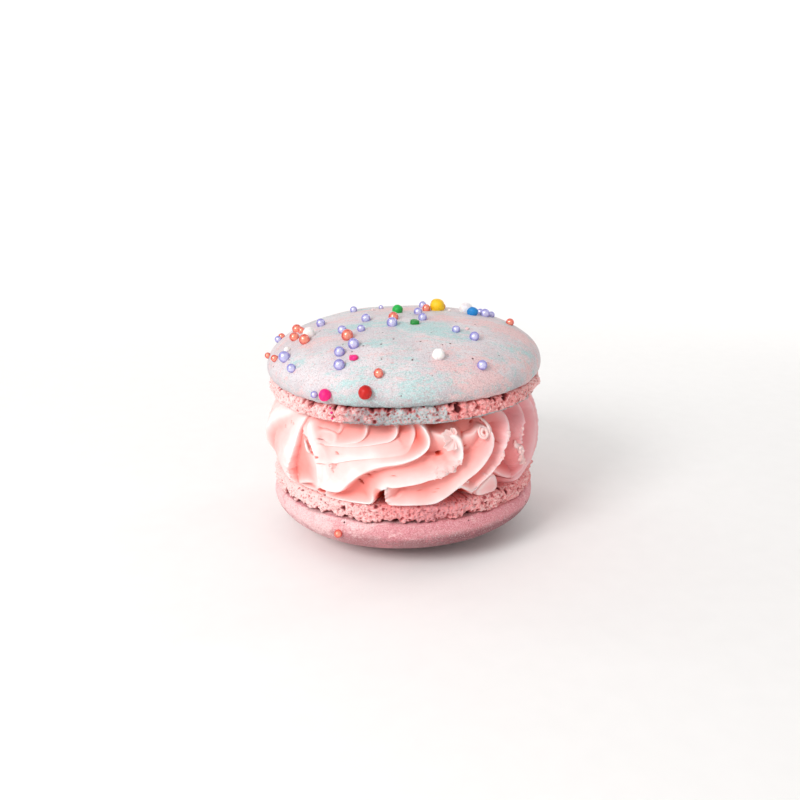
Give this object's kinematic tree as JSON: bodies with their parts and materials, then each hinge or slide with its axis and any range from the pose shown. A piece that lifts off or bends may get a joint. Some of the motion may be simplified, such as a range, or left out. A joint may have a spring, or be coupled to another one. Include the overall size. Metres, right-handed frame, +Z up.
{
  "type": "french macaron",
  "caption": "Large round sandwich biscuit for eating: domed almond meringue shells with a thick ring of piped buttercream between them and sugar pearls strewn on top.",
  "frame": {"origin": "middle of the small flat spot under the lower shell, which the macaron rests on", "axes": "+Z up through both shells, -Y towards the front, +X to the right seen from the front"},
  "size_m": [0.0512, 0.0513, 0.0414],
  "materials": {
    "lower_shell": "matte dusty rose baked meringue with a smooth skin and a porous foot",
    "cream": "silky pink whipped buttercream",
    "upper_shell": "matte pale grey-lilac baked meringue streaked with mint and pink",
    "sugar_pearl": "pearlescent sugar coating on small round sprinkles",
    "nonpareil": "waxy coloured sugar balls and chips"
  },
  "bodies": {
    "root": {"lower_shell": "lower_shell", "cream": "cream", "upper_shell": "upper_shell"}
  },
  "joints": []
}
